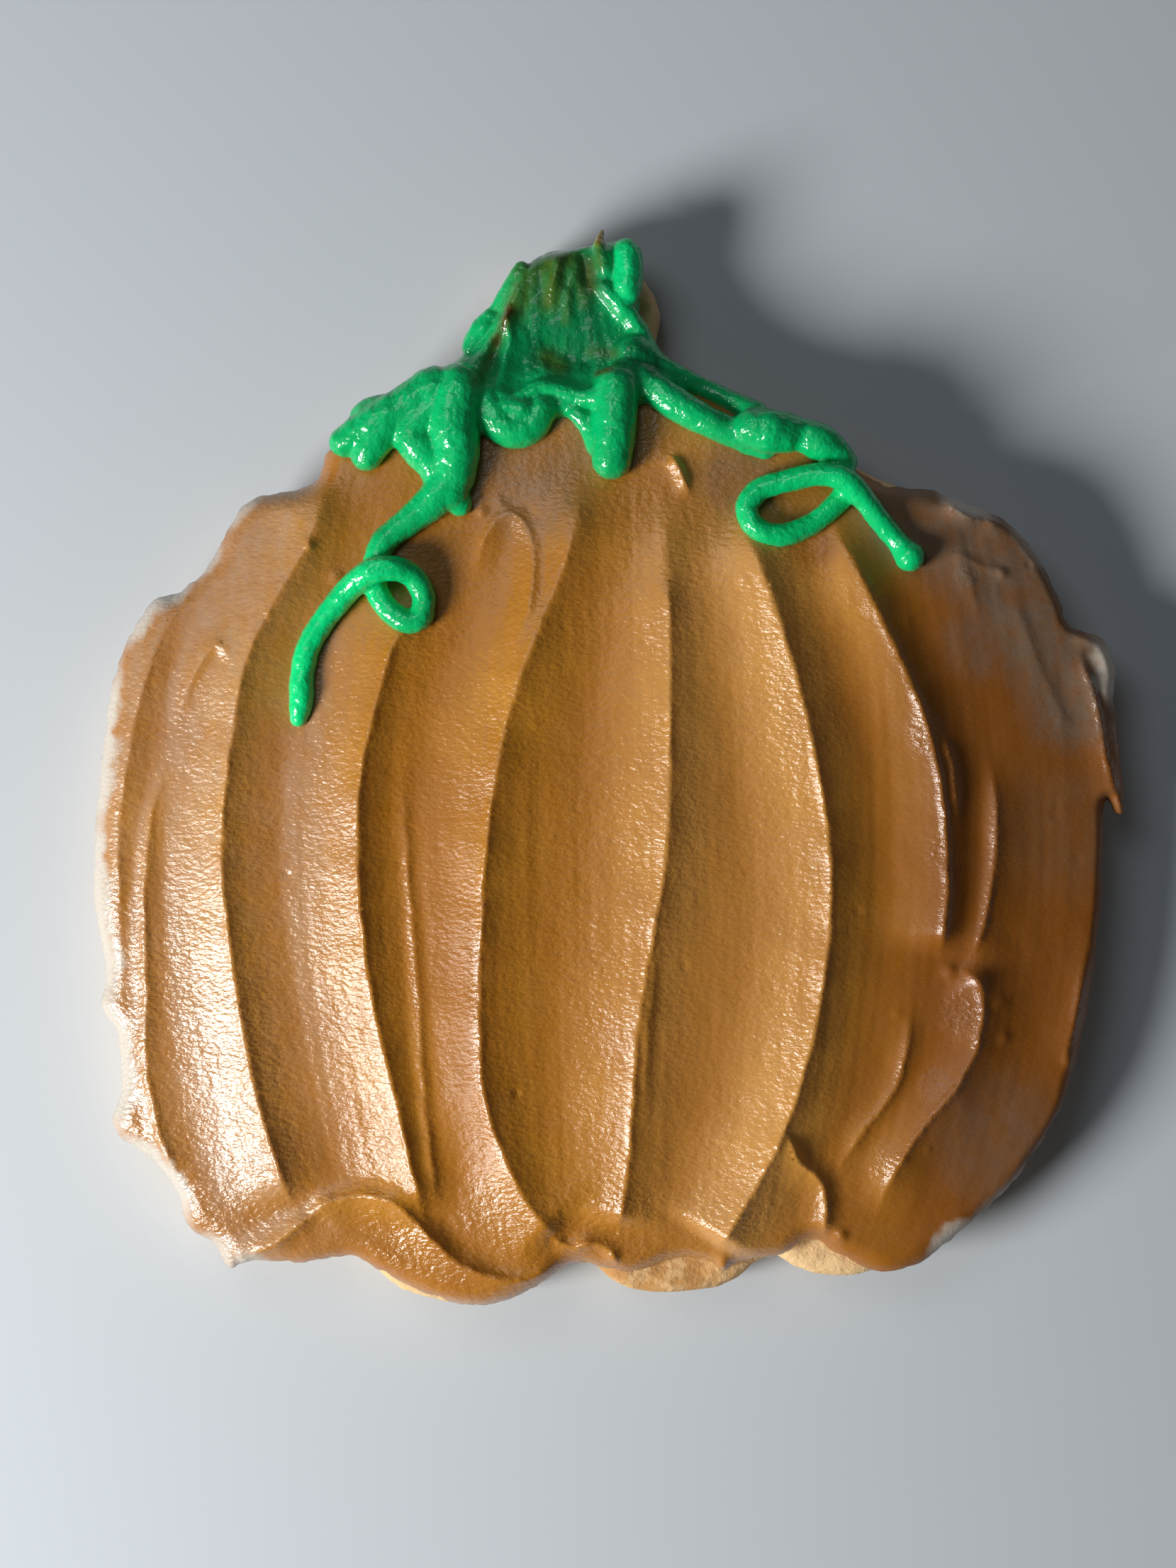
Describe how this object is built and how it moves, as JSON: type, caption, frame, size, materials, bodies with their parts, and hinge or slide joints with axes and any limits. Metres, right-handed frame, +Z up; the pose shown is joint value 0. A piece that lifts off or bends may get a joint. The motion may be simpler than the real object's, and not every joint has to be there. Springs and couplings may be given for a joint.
{
  "type": "pumpkin-shaped iced cookie",
  "caption": "Flat pumpkin-shaped sugar cookie with ridged, knife-swept orange icing and a piped green stem with curling vines.",
  "frame": {"origin": "middle of the biscuit's flat underside", "axes": "+Z up out of the icing; +Y towards the stem; +X to the right when the stem points away"},
  "size_m": [0.1009, 0.1054, 0.0141],
  "materials": {
    "biscuit": "pale baked crumb, matt and finely pitted",
    "orange_icing": "soft satin buttercream with a fine grain",
    "green_icing": "moist, glossy piped icing"
  },
  "bodies": {
    "root": {"biscuit": "biscuit", "orange_icing": "orange_icing", "green_icing": "green_icing"}
  },
  "joints": []
}
